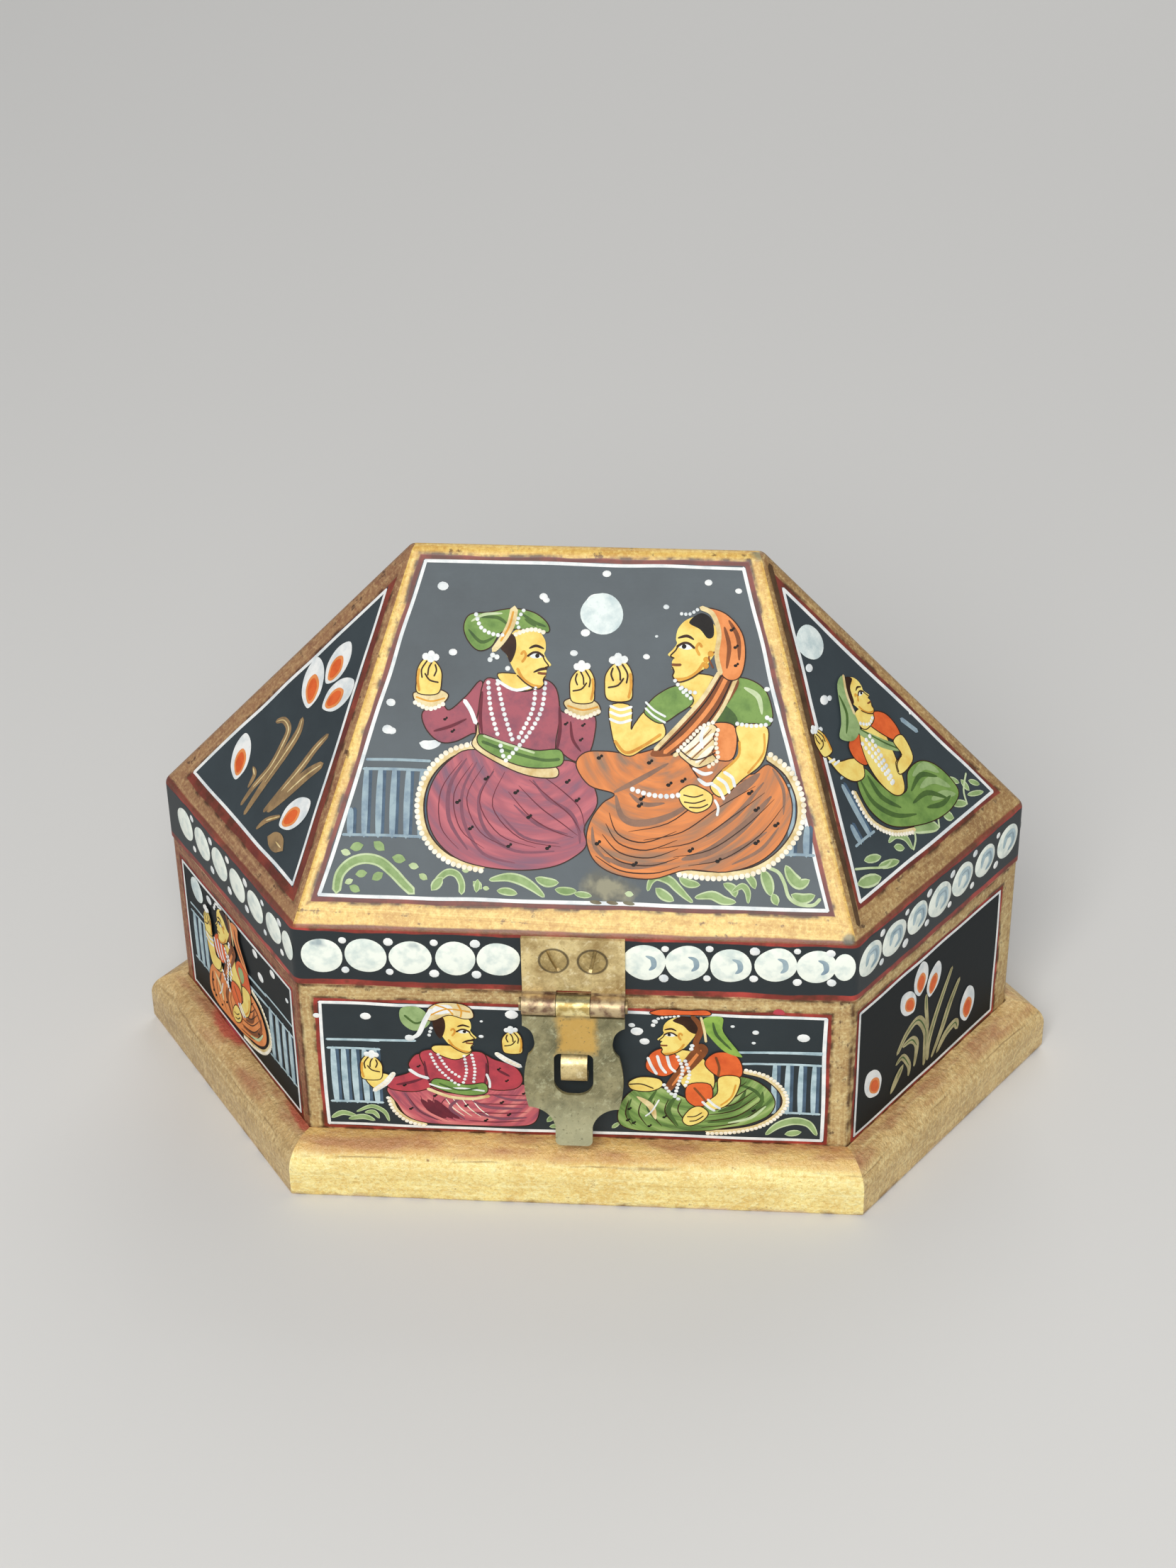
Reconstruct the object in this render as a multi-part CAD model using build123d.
from build123d import *
import os

# A six-sided wooden keepsake box with a hipped, hinged lid and a brass hasp.
# Millimetres. X runs to the right, Y to the back, Z up. The origin is on the
# table under the middle of the box, and the hasp faces the front, -Y.

# Plan of the walls' outer faces
box_length = 211.0          # from side point to side point
front_width = 130.0         # the front and the back wall
box_depth = 116.0           # front wall to back wall
wall_thickness = 8.0
arris_radius = 2.5          # every outer wooden edge of walls and lid is rounded

# Heights
board_thickness = 5.0       # bottom board, flush with the underside of the plinth
seam_height = 59.5          # top of the base walls
seam_gap = 0.2
band_height = 16.4          # upright part of the lid
roof_rise = 70.4            # from the lid's rim to where the sloping faces meet
ridge_length = 80.0
roof_thickness = 6.0
lid_outset = 0.3            # the lid is a little larger than the base

# Plinth moulding round the foot
plinth_overhang = 8.2
plinth_height = 15.0
plinth_round = 7.2          # radius of the rounded upper edge
plinth_foot_round = 1.2     # worn lower edge

# Butt hinges in the back seam
hinge_spacing = 72.0        # middle to middle
hinge_width = 20.0
hinge_leaf_thickness = 0.9
hinge_leaf_margin = 0.7     # wood left between a leaf and the inside of the wall
hinge_knuckle_radius = 1.9
hinge_pin_radius = 0.9
hinge_inset = 1.0           # axis inside the back face
hinge_head_radius = 1.4
hinge_head_length = 0.7
lid_open_angle = 104.0      # the bevelled back edges meet here
stop_clearance = 0.3        # degrees left between each bevel and the stop

# Hasp on the front
hasp_width = 24.0
hasp_thickness = 1.0
hasp_knuckle_radius = 2.5
hasp_pin_radius = 1.1
hasp_plate_rise = 18.1      # top of the plate above the pin
hasp_drop = 1.5             # pin below the seam
hasp_leaf_length = 38.9     # pin to the tip of the tongue
hasp_leaf_start = 3.1       # pin to the full-width top of the leaf
hasp_shoulder_length = 2.6  # straight sides under the pin
hasp_waist_width = 18.6
hasp_waist_at = 9.2         # this and the next three are distances below the pin
hasp_hip_at = 13.8
hasp_lobe_foot_at = 28.2
hasp_tongue_at = 33.6
hasp_waist_hollow = 0.7     # depth of each curve between its ends
hasp_lobe_width = 23.4
hasp_lobe_bulge = 1.0
hasp_foot_hollow = 1.5
hasp_tongue_width = 8.8
hasp_tongue_round = 1.4
hasp_hole_width = 9.3
hasp_hole_top = 13.1        # pin to the upper end of the hole
hasp_hole_bottom = 24.6
hasp_hole_top_round = 1.5
hasp_hole_bottom_round = 3.9
hasp_rest_tilt = 7.2        # degrees that the hanging leaf stands off the wall
hasp_pin_head_length = 0.5
hasp_pin_head_radius = 1.6

# Staple that comes through the hole
staple_width = 6.2
staple_height = 8.6
staple_reach = 5.05         # out from the front wall
staple_strip = 1.2
staple_round = 4.0
staple_crown = 0.2          # least straight length left between the two bends
staple_prong = 5.0          # driven into the wall
staple_drop = 18.8          # middle of the staple below the hasp's pin

# Countersunk slotted screws: head radius, shank radius, length, slot width, slot depth
hasp_screw_head = 3.3
hasp_screw_shank = 1.3
hasp_screw_length = 7.0
hasp_screw_slot = 0.9
hasp_screw_spacing = 9.0
hasp_screw_below_top = 6.3
hasp_screw_proud = 0.6
hasp_slot_angles = (24.0, -12.0)
hinge_screw_head = 1.7
hinge_screw_shank = 0.8
hinge_screw_length = 5.5
hinge_screw_slot = 0.4
hinge_screw_spacing = 11.0
hinge_screw_proud = 0.0
screw_slot_depth = 0.45     # as a share of the head's height

# Fits
pin_clearance = 0.05        # radial, between a pin and its knuckles
knuckle_gap = 0.15          # between neighbouring knuckles
notch_clearance = 0.15      # between the hinge barrels and the wood
screw_clearance = 0.03

# Derived places
up = Vector(0, 0, 1)
front_face = -box_depth / 2
back_face = box_depth / 2
lid_bottom = seam_height + seam_gap
rim_height = lid_bottom + band_height
hinge_y = back_face - hinge_inset
hinge_z = seam_height + seam_gap / 2
hasp_y = front_face - lid_outset - hasp_knuckle_radius
hasp_z = seam_height - hasp_drop
far = 2 * (box_length + box_depth)      # longer than anything here

side_names = ["front", "right_front", "right_back", "back", "left_back", "left_front"]
side_corners = [
    Vector(-front_width / 2, front_face),
    Vector(front_width / 2, front_face),
    Vector(box_length / 2, 0),
    Vector(front_width / 2, back_face),
    Vector(-front_width / 2, back_face),
    Vector(-box_length / 2, 0),
]


def side_plane(index, outset=0.0):
    """The outer face of one wall, with its normal outward and its X along the wall."""
    start, end = side_corners[index], side_corners[(index + 1) % 6]
    along = (end - start).normalized()
    outward = along.cross(up)
    return Plane(origin=(start + end) * 0.5 + outward * outset, x_dir=along, z_dir=outward)


def roof_plane(index):
    """The sloping face above one wall, from the lid's rim up to the ridge."""
    side = side_plane(index, lid_outset)
    outward = side.z_dir
    ridge_end = Vector(0, 0, 0)
    if abs(outward.X) > 1e-6:
        ridge_end = Vector(ridge_length / 2 * (1 if outward.X > 0 else -1), 0, 0)
    run = (side.origin - ridge_end).dot(outward)
    slope_normal = (outward * roof_rise + up * run).normalized()
    return Plane(origin=side.origin + up * rim_height, x_dir=side.x_dir, z_dir=slope_normal)


def level_plane(height, direction=1):
    return Plane(origin=(0, 0, height), z_dir=(0, 0, direction))


def convex(planes):
    """The space behind every plane in the list."""
    body = Box(far, far, far)
    for plane in planes:
        body = split(body, bisect_by=plane, keep=Keep.BOTTOM)
    return body


def between_mitres(body, faces, index):
    """The part of a shell that belongs to one face, cut at the bisecting planes."""
    through_middle = Plane(origin=(0, 0, 0), z_dir=side_plane(index).z_dir * -1)
    body = split(body, bisect_by=through_middle, keep=Keep.BOTTOM)
    normal = faces[index].z_dir
    for step in (-1, 1):
        neighbour = (index + step) % 6
        shared_corner = side_corners[index if step == -1 else neighbour]
        cut_normal = (faces[neighbour].z_dir - normal).normalized()
        corner = meeting_point(faces[index], faces[neighbour], shared_corner)
        body = split(body, bisect_by=Plane(origin=corner, z_dir=cut_normal), keep=Keep.BOTTOM)
    return body


def meeting_point(plane_a, plane_b, near):
    """A point on the line where two planes meet, as close as may be to a given point."""
    normal_a, normal_b = plane_a.z_dir, plane_b.z_dir
    away_a = (plane_a.origin - near).dot(normal_a)
    away_b = (plane_b.origin - near).dot(normal_b)
    share = normal_a.dot(normal_b)
    weight_a = (away_a - away_b * share) / (1 - share * share)
    weight_b = (away_b - away_a * share) / (1 - share * share)
    return near + normal_a * weight_a + normal_b * weight_b


def one_solid(shape, label):
    """The single solid in a boolean's result, named for its node."""
    solids = shape.solids()
    if len(solids) != 1:
        raise ValueError(f"{label} has {len(solids)} solids")
    solids[0].label = label
    return solids[0]


def rod(radius, start, end):
    """A round bar between two points."""
    run = end - start
    return Solid.make_cylinder(radius, run.length, Plane(origin=start, z_dir=run.normalized()))


def box_between(low, high):
    size = [b - a for a, b in zip(low, high)]
    return Solid.make_box(*size, Plane(origin=low))


# Walls, boards and roof

def base_shell():
    sides = [side_plane(i) for i in range(6)]
    high, low = level_plane(seam_height + wall_thickness), level_plane(-wall_thickness, -1)
    core = convex([s.offset(-arris_radius) for s in sides] + [high, low])
    rounded = offset(core, amount=arris_radius, kind=Kind.ARC)
    outer = split(rounded, bisect_by=level_plane(seam_height), keep=Keep.BOTTOM)
    outer = split(outer, bisect_by=level_plane(board_thickness), keep=Keep.TOP)
    return outer - convex([s.offset(-wall_thickness) for s in sides])


def bottom_board():
    sides = [side_plane(i) for i in range(6)]
    board = convex(sides + [level_plane(board_thickness), level_plane(0, -1)])
    return one_solid(board, "bottom_board")


def lid_shell():
    sides = [side_plane(i, lid_outset) for i in range(6)]
    roofs = [roof_plane(i) for i in range(6)]
    below = level_plane(lid_bottom - band_height, -1)
    core = convex([p.offset(-arris_radius) for p in sides + roofs] + [below])
    rounded = offset(core, amount=arris_radius, kind=Kind.ARC)
    outer = split(rounded, bisect_by=level_plane(lid_bottom), keep=Keep.TOP)
    hollow = convex([s.offset(-wall_thickness) for s in sides] + [p.offset(-roof_thickness) for p in roofs])
    return outer - hollow


def plinth_piece(index):
    """One length of moulding, cut to the corners' mitres."""
    side = side_plane(index)
    profile_plane = Plane(origin=side.origin - side.x_dir * box_length, x_dir=side.z_dir,
                          z_dir=side.x_dir * -1)
    low_face = (plinth_overhang, plinth_foot_round)
    high_face = (plinth_overhang, plinth_height - plinth_round)
    shoulder = (plinth_overhang - plinth_round, plinth_height)
    edges = [
        Line((0, 0), (plinth_overhang - plinth_foot_round, 0)),
        RadiusArc((plinth_overhang - plinth_foot_round, 0), low_face, -plinth_foot_round),
        Line(low_face, high_face),
        RadiusArc(high_face, shoulder, -plinth_round),
        Polyline(shoulder, (0, plinth_height), (0, 0)),
    ]
    profile = make_face(Curve() + edges)
    length = extrude(profile_plane * profile, amount=2 * box_length, dir=side.x_dir)
    sides = [side_plane(i) for i in range(6)]
    return one_solid(between_mitres(length, sides, index), f"plinth_{side_names[index]}")


# Screws and their holes, made point down at the origin with the head's top at z = 0

def screw(head, shank, length, slot, proud, turn=0.0):
    head_height = head - shank
    cone = Solid.make_cone(shank, head, head_height, Plane(origin=(0, 0, -head_height)))
    body = cone + rod(shank, Vector(0, 0, -length), Vector(0, 0, -head_height))
    if proud > 0:
        dome_radius = (head * head + proud * proud) / (2 * proud)
        ball = Pos(0, 0, proud - dome_radius) * Sphere(dome_radius)
        dome = split(ball, bisect_by=level_plane(0), keep=Keep.TOP)
        body = body + dome
    depth = head_height * screw_slot_depth
    groove = Pos(0, 0, proud - depth / 2) * Box(slot, 2 * head + slot, depth + proud)
    return body - Rot(0, 0, turn) * groove


def screw_hole(head, shank, length):
    head_height = head - shank
    cone = Solid.make_cone(shank + screw_clearance, head + screw_clearance, head_height,
                           Plane(origin=(0, 0, -head_height)))
    drill = rod(shank + screw_clearance, Vector(0, 0, -length), Vector(0, 0, -head_height))
    return cone + drill


# Hinges

hinge_centres = (-hinge_spacing / 2, hinge_spacing / 2)
leaf_inner_y = back_face - wall_thickness + hinge_leaf_margin
leaf_outer_y = hinge_y - hinge_knuckle_radius - notch_clearance
hinge_screw_y = (leaf_inner_y + leaf_outer_y) / 2


def knuckle_spans(width, outer):
    """Start and end of each knuckle along a barrel of three."""
    third = width / 3
    if outer:
        return [(-width / 2, -third / 2 - knuckle_gap / 2), (third / 2 + knuckle_gap / 2, width / 2)]
    return [(-third / 2 + knuckle_gap / 2, third / 2 - knuckle_gap / 2)]


def hinge_leaf(centre, for_lid):
    """A flat leaf let into the seam, with its share of the barrel."""
    low_z = lid_bottom if for_lid else seam_height - hinge_leaf_thickness
    high_z = low_z + hinge_leaf_thickness
    leaf = box_between((centre - hinge_width / 2, leaf_inner_y, low_z),
                       (centre + hinge_width / 2, leaf_outer_y, high_z))
    for start, end in knuckle_spans(hinge_width, outer=not for_lid):
        axis_from = Vector(centre + start, hinge_y, hinge_z)
        axis_to = Vector(centre + end, hinge_y, hinge_z)
        leaf = leaf + box_between((centre + start, leaf_outer_y, low_z), (centre + end, hinge_y, high_z))
        leaf = leaf + rod(hinge_knuckle_radius, axis_from, axis_to)
    bore = rod(hinge_pin_radius + pin_clearance, Vector(centre - hinge_width, hinge_y, hinge_z),
               Vector(centre + hinge_width, hinge_y, hinge_z))
    leaf = leaf - bore
    for hole in hinge_screw_places(centre, for_lid):
        leaf = leaf - hole * screw_hole(hinge_screw_head, hinge_screw_shank, hinge_screw_length)
    return leaf


def hinge_screw_places(centre, for_lid):
    """Where the heads sit, in the face of the leaf that closes on the other leaf."""
    height = lid_bottom if for_lid else seam_height
    turn = 180 if for_lid else 0
    return [Pos(centre + x, hinge_screw_y, height) * Rot(turn, 0, 0)
            for x in (-hinge_screw_spacing / 2, hinge_screw_spacing / 2)]


def hinge_pin(centre):
    half = hinge_width / 2 + knuckle_gap
    left, right = Vector(centre - half, hinge_y, hinge_z), Vector(centre + half, hinge_y, hinge_z)
    head = Vector(hinge_head_length, 0, 0)
    return rod(hinge_pin_radius, left, right) + rod(hinge_head_radius, left - head, left) + rod(
        hinge_head_radius, right, right + head)


def hinge_recess(centre, for_lid):
    """Wood taken away for one hinge: the barrel's notch, the leaf's bed and the screw holes."""
    reach = hinge_width / 2 + knuckle_gap + hinge_head_length + notch_clearance
    notch = rod(hinge_knuckle_radius + notch_clearance, Vector(centre - reach, hinge_y, hinge_z),
                Vector(centre + reach, hinge_y, hinge_z))
    low_z = lid_bottom if for_lid else seam_height - hinge_leaf_thickness
    bed = box_between((centre - hinge_width / 2, leaf_inner_y, low_z),
                      (centre + hinge_width / 2, hinge_y, low_z + hinge_leaf_thickness))
    recess = notch + bed
    for hole in hinge_screw_places(centre, for_lid):
        recess = recess + hole * screw_hole(hinge_screw_head, hinge_screw_shank, hinge_screw_length)
    return recess


def stop_bevel(for_lid):
    """Wedge taken off a back edge, so that lid and wall meet when the lid is fully open."""
    angle = lid_open_angle / 2 + stop_clearance
    facing = Vector(0, 1, 0).rotate(Axis.X, 90 + angle if for_lid else -90 - angle)
    cut = Plane(origin=(0, hinge_y, hinge_z), z_dir=facing * -1)
    wedge = box_between((-far / 2, hinge_y, hinge_z - (0 if for_lid else wall_thickness)),
                        (far / 2, hinge_y + wall_thickness, hinge_z + (wall_thickness if for_lid else 0)))
    return split(wedge, bisect_by=cut, keep=Keep.TOP)


# Hasp and staple

def hasp_axis_point(x):
    return Vector(x, hasp_y, hasp_z)


def hasp_bore():
    return rod(hasp_pin_radius + pin_clearance, hasp_axis_point(-hasp_width), hasp_axis_point(hasp_width))


def hasp_screw_places():
    height = hasp_z + hasp_plate_rise - hasp_screw_below_top
    face = front_face - lid_outset - hasp_thickness
    return [Plane(origin=(x, face, height), x_dir=(1, 0, 0), z_dir=(0, -1, 0)).location
            for x in (-hasp_screw_spacing / 2, hasp_screw_spacing / 2)]


def hasp_plate():
    band_face = front_face - lid_outset
    plate = box_between((-hasp_width / 2, band_face - hasp_thickness, hasp_z + hasp_leaf_start),
                        (hasp_width / 2, band_face, hasp_z + hasp_plate_rise))
    for start, end in knuckle_spans(hasp_width, outer=True):
        plate = plate + box_between((start, band_face - hasp_thickness, hasp_z),
                                    (end, band_face, hasp_z + hasp_leaf_start))
        plate = plate + rod(hasp_knuckle_radius, hasp_axis_point(start), hasp_axis_point(end))
    plate = plate - hasp_bore()
    for place in hasp_screw_places():
        plate = plate - place * screw_hole(hasp_screw_head, hasp_screw_shank, hasp_screw_length)
    return plate


def hasp_outline():
    """The right half of the leaf's outline, seen flat, with the pin at the origin."""
    start, tip = -hasp_leaf_start, -hasp_leaf_length
    shoulder = (hasp_width / 2, start - hasp_shoulder_length)
    waist = (hasp_waist_width / 2, -hasp_waist_at)
    hip = (hasp_lobe_width / 2 - hasp_lobe_bulge, -hasp_hip_at)
    lobe_foot = (hasp_lobe_width / 2 - hasp_lobe_bulge, -hasp_lobe_foot_at)
    tongue_top = (hasp_tongue_width / 2, -hasp_tongue_at)
    tongue_corner = (hasp_tongue_width / 2, tip + hasp_tongue_round)
    foot = (hasp_tongue_width / 2 - hasp_tongue_round, tip)
    edges = [
        Polyline((0, start), (hasp_width / 2, start), shoulder),
        SagittaArc(shoulder, waist, -hasp_waist_hollow),
        SagittaArc(waist, hip, -hasp_waist_hollow),
        SagittaArc(hip, lobe_foot, hasp_lobe_bulge),
        SagittaArc(lobe_foot, tongue_top, -hasp_foot_hollow),
        Line(tongue_top, tongue_corner),
        RadiusArc(tongue_corner, foot, hasp_tongue_round),
        Polyline(foot, (0, tip), (0, start)),
    ]
    return make_face(Curve() + edges)


def hasp_hole():
    shape = Pos(0, -(hasp_hole_top + hasp_hole_bottom) / 2) * Rectangle(
        hasp_hole_width, hasp_hole_bottom - hasp_hole_top)
    upper = shape.vertices().group_by(Axis.Y)[-1]
    shape = fillet(upper, hasp_hole_top_round)
    lower = shape.vertices().group_by(Axis.Y)[0]
    return fillet(lower, hasp_hole_bottom_round)


def hasp_leaf():
    """The swinging leaf, drawn hanging straight down and then tilted to its rest."""
    right_half = hasp_outline()
    outline = right_half + mirror(right_half, about=Plane.YZ) - hasp_hole()
    facing = Plane(origin=hasp_axis_point(0) + Vector(0, hasp_thickness / 2, 0), x_dir=(1, 0, 0),
                   z_dir=(0, -1, 0))
    leaf = extrude(facing * outline, amount=hasp_thickness)
    for start, end in knuckle_spans(hasp_width, outer=False):
        leaf = leaf + box_between((start, hasp_y - hasp_thickness / 2, hasp_z - hasp_leaf_start),
                                  (end, hasp_y + hasp_thickness / 2, hasp_z))
        leaf = leaf + rod(hasp_knuckle_radius, hasp_axis_point(start), hasp_axis_point(end))
    leaf = leaf - hasp_bore()
    return leaf.rotate(Axis(hasp_axis_point(0), (1, 0, 0)), -hasp_rest_tilt)


def hasp_pin():
    half = hasp_width / 2 + knuckle_gap
    head = Vector(hasp_pin_head_length, 0, 0)
    left, right = hasp_axis_point(-half), hasp_axis_point(half)
    return rod(hasp_pin_radius, left, right) + rod(hasp_pin_head_radius, left - head, left) + rod(
        hasp_pin_head_radius, right, right + head)


def staple_outline(inset):
    """Side view of the bent strip, with its prongs in the wall; inset shrinks it to the eye."""
    tall = staple_height - 2 * inset
    reach = staple_reach - inset
    loop = Pos(-reach / 2 + staple_prong / 2, 0) * Rectangle(reach + staple_prong, tall)
    front = loop.vertices().group_by(Axis.X)[0]
    return fillet(front, min(staple_round - inset, (tall - staple_crown) / 2))


def staple():
    side_view = Plane(origin=(-staple_width / 2, front_face, hasp_z - staple_drop), x_dir=(0, 1, 0),
                      z_dir=(1, 0, 0))
    strip = staple_outline(0) - staple_outline(staple_strip)
    return extrude(side_view * strip, amount=staple_width)


def staple_slots():
    """The two slits in the front wall that the prongs fill."""
    slots = []
    for side in (-1, 1):
        middle = hasp_z - staple_drop + side * (staple_height - staple_strip) / 2
        slots.append(box_between((-staple_width / 2, front_face - staple_strip, middle - staple_strip / 2),
                                 (staple_width / 2, front_face + staple_prong, middle + staple_strip / 2)))
    return slots


# Every piece, in its own named node

def build():
    nodes = {"bottom_board": bottom_board()}

    base = base_shell()
    walls = [side_plane(i) for i in range(6)]
    for i, name in enumerate(side_names):
        nodes[f"plinth_{name}"] = plinth_piece(i)
        nodes[f"base_wall_{name}"] = between_mitres(base, walls, i)

    lid = lid_shell()
    bands = split(lid, bisect_by=level_plane(rim_height), keep=Keep.BOTTOM)
    roof = split(lid, bisect_by=level_plane(rim_height), keep=Keep.TOP)
    band_faces = [side_plane(i, lid_outset) for i in range(6)]
    roof_faces = [roof_plane(i) for i in range(6)]
    for i, name in enumerate(side_names):
        nodes[f"lid_band_{name}"] = between_mitres(bands, band_faces, i)
        nodes[f"roof_{name}"] = between_mitres(roof, roof_faces, i)

    for centre in hinge_centres:
        nodes["base_wall_back"] -= hinge_recess(centre, for_lid=False)
        nodes["lid_band_back"] -= hinge_recess(centre, for_lid=True)
    for name in ("left_back", "back", "right_back"):
        nodes[f"base_wall_{name}"] -= stop_bevel(for_lid=False)
        nodes[f"lid_band_{name}"] -= stop_bevel(for_lid=True)
    for slot in staple_slots():
        nodes["base_wall_front"] -= slot
    for place in hasp_screw_places():
        nodes["lid_band_front"] -= place * screw_hole(hasp_screw_head, hasp_screw_shank, hasp_screw_length)

    for name, centre in zip(("left", "right"), hinge_centres):
        nodes[f"hinge_{name}_base_leaf"] = hinge_leaf(centre, for_lid=False)
        nodes[f"hinge_{name}_lid_leaf"] = hinge_leaf(centre, for_lid=True)
        nodes[f"hinge_{name}_pin"] = hinge_pin(centre)

    nodes["hasp_plate"] = hasp_plate()
    nodes["hasp_leaf"] = hasp_leaf()
    nodes["hasp_pin"] = hasp_pin()
    nodes["hasp_staple"] = staple()
    nodes = {name: one_solid(shape, name) for name, shape in nodes.items()}

    small = screw(hinge_screw_head, hinge_screw_shank, hinge_screw_length, hinge_screw_slot,
                  hinge_screw_proud)
    for part, for_lid in (("base", False), ("lid", True)):
        places = [p for c in hinge_centres for p in hinge_screw_places(c, for_lid)]
        nodes[f"hinge_{part}_screws"] = Compound([s for p in places for s in (p * small).solids()])
    heads = [place * screw(hasp_screw_head, hasp_screw_shank, hasp_screw_length, hasp_screw_slot,
                           hasp_screw_proud, turn)
             for place, turn in zip(hasp_screw_places(), hasp_slot_angles)]
    nodes["hasp_screws"] = Compound([s for head in heads for s in head.solids()])
    return nodes


os.makedirs("parts", exist_ok=True)
for node, shape in build().items():
    export_step(shape, f"parts/{node}.step")
    print(f"{node}: {shape.volume:.1f} mm3")
